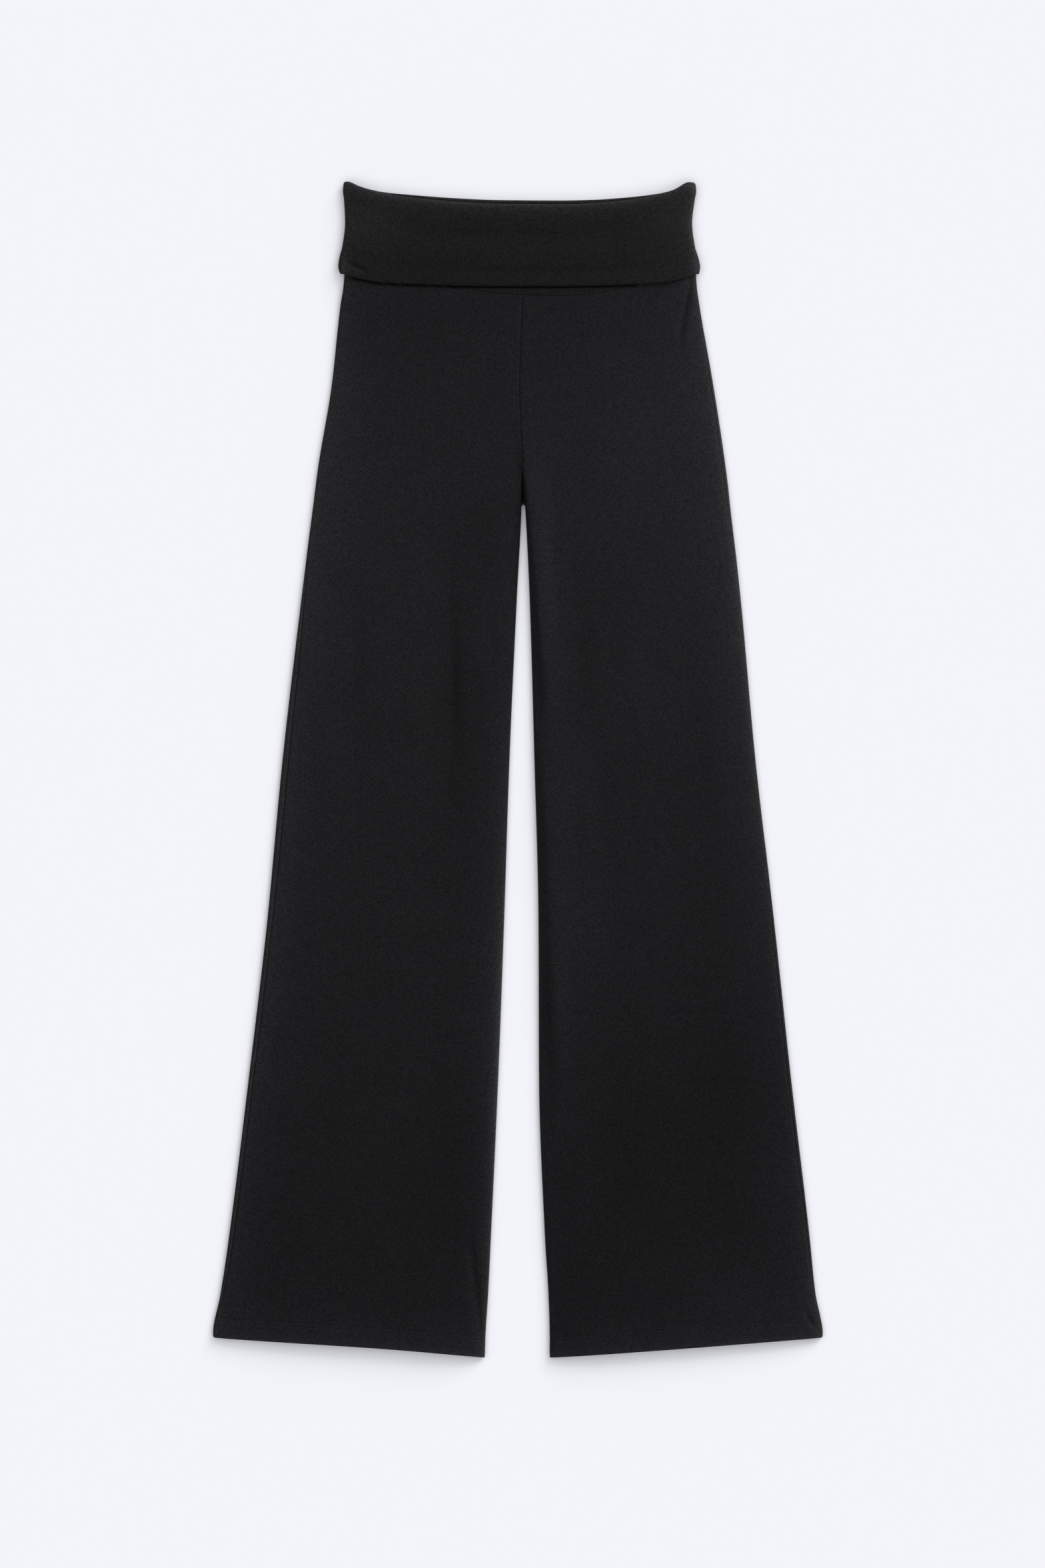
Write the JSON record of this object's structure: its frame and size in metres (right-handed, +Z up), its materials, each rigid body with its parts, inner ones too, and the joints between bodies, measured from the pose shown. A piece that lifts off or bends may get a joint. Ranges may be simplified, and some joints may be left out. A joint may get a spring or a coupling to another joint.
{
  "type": "pyjama trousers",
  "caption": "Plain black wide-leg jersey lounge trousers with a deep fold-over waistband, laid flat on their back, the hem mouths and the waist slightly open",
  "frame": {"origin": "middle of the laid garment's bounding box, on the surface that it lies on", "axes": "+Z up from that surface through the back to the front, +Y from the hems to the waist, and the wearer's left leg at +X"},
  "size_m": [0.5866, 1.1301, 0.0155],
  "materials": {
    "leg_jersey": "plain black single jersey of cotton or viscose with a little elastane, matt with a soft sheen, hems turned up and sewn with two rows of stitches",
    "band_jersey": "the same plain black jersey, doubled, folded over at the top with a soft unpressed roll"
  },
  "bodies": {
    "root": {"front_right_leg": "leg_jersey", "front_left_leg": "leg_jersey", "back_right_leg": "leg_jersey", "back_left_leg": "leg_jersey", "waistband_front": "band_jersey", "waistband_back": "band_jersey"}
  },
  "joints": []
}
